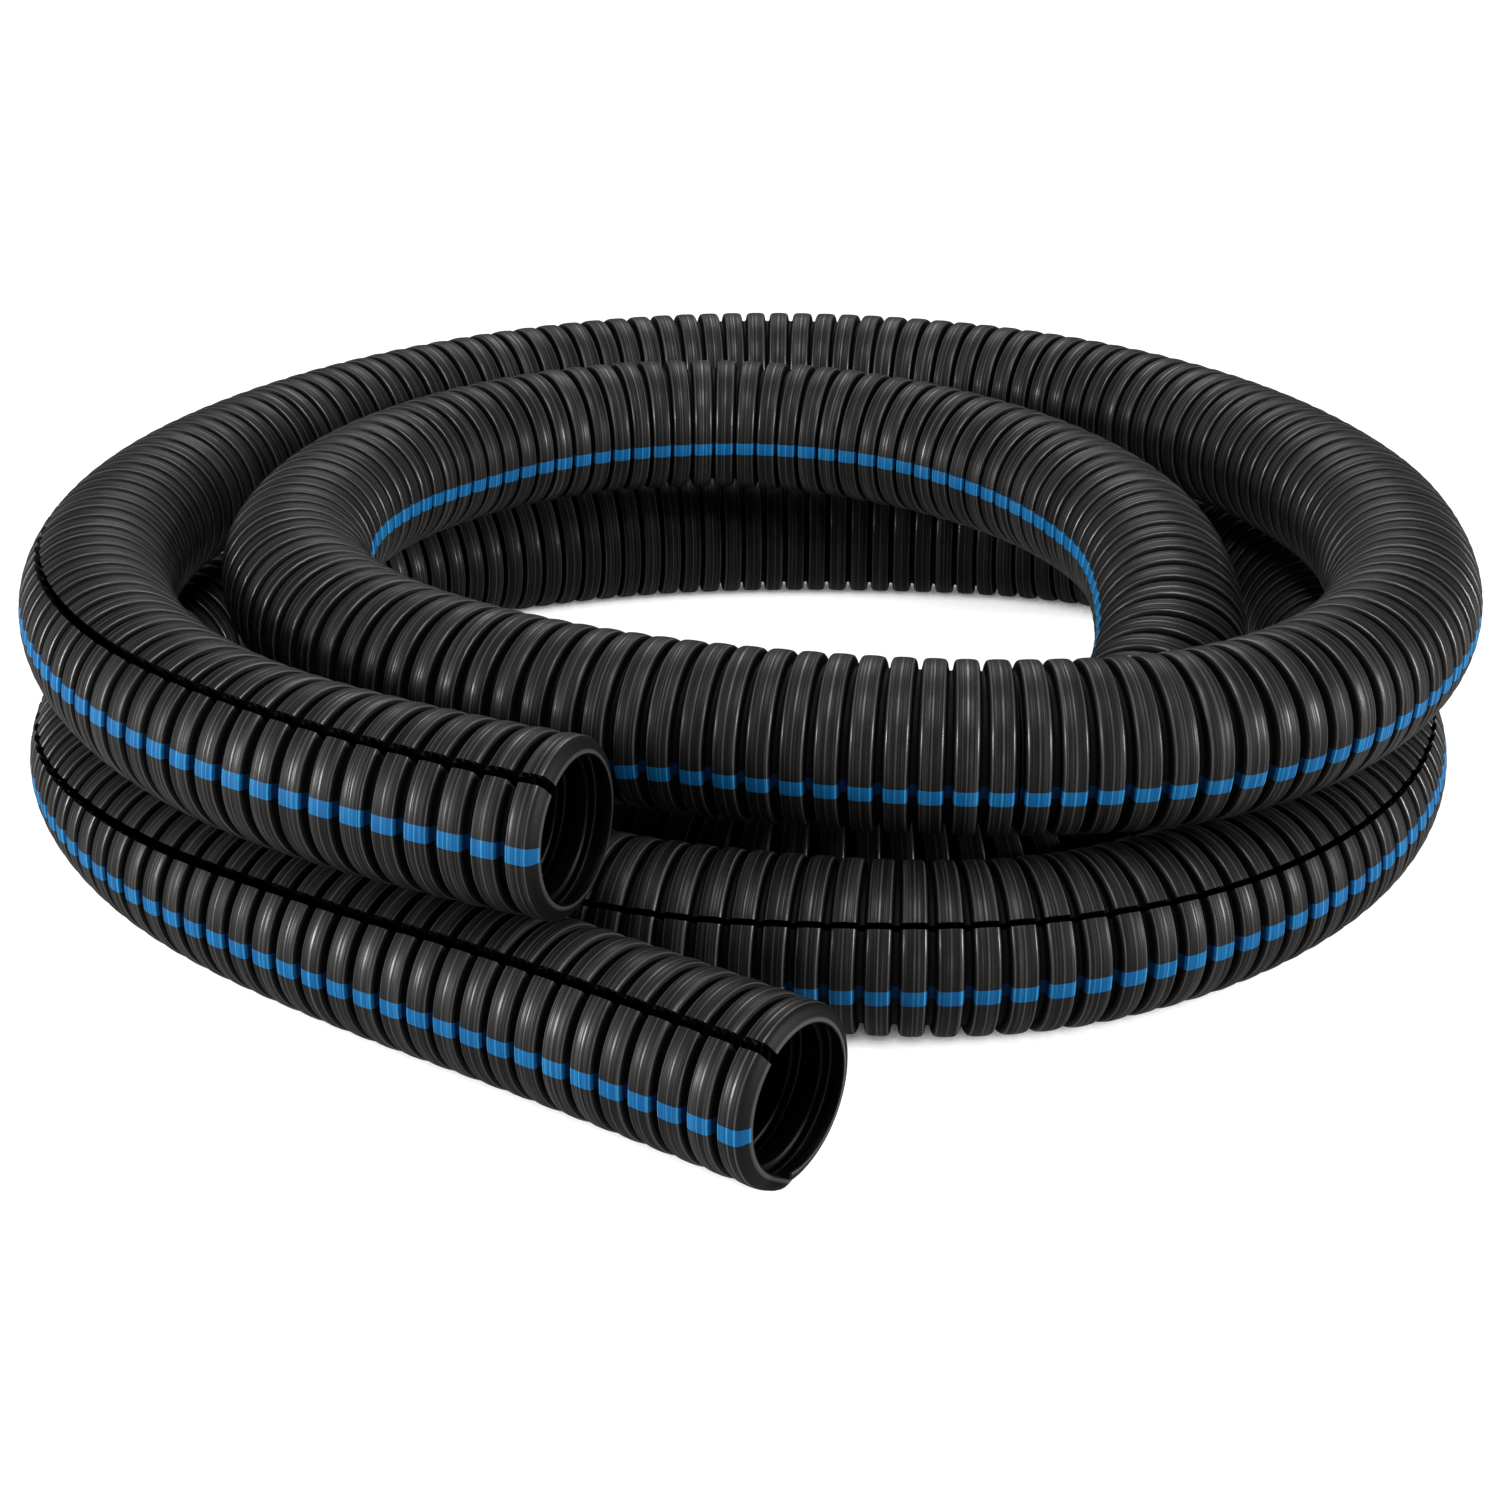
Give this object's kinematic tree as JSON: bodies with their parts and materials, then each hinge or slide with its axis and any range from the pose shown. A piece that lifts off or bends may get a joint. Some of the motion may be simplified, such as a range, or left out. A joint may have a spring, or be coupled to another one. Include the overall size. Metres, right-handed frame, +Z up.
{
  "type": "pool vacuum hose",
  "caption": "Corrugated black plastic hose with a blue stripe and a lengthwise slit, folded double and wound into a loose flat coil with both plain ends out.",
  "frame": {"origin": "on the surface that the coil lies on, under the middle of its outline", "axes": "+Z up; +Y to the back, away from the two open ends; +X to the right as seen from the open ends"},
  "size_m": [0.4662, 0.5236, 0.0983],
  "materials": {
    "hose_black": "satin black moulded plastic with fine lines round the ribs",
    "stripe_blue": "blue plastic run in with the black when the hose is made"
  },
  "bodies": {
    "root": {"upper_end": "hose_black", "upper_turn": "hose_black", "inner_turn": "hose_black", "crossover": "hose_black", "hidden_fold": "hose_black", "lower_turn": "hose_black", "lower_end": "hose_black", "upper_end_stripe": "stripe_blue", "lower_end_stripe": "stripe_blue"}
  },
  "joints": []
}
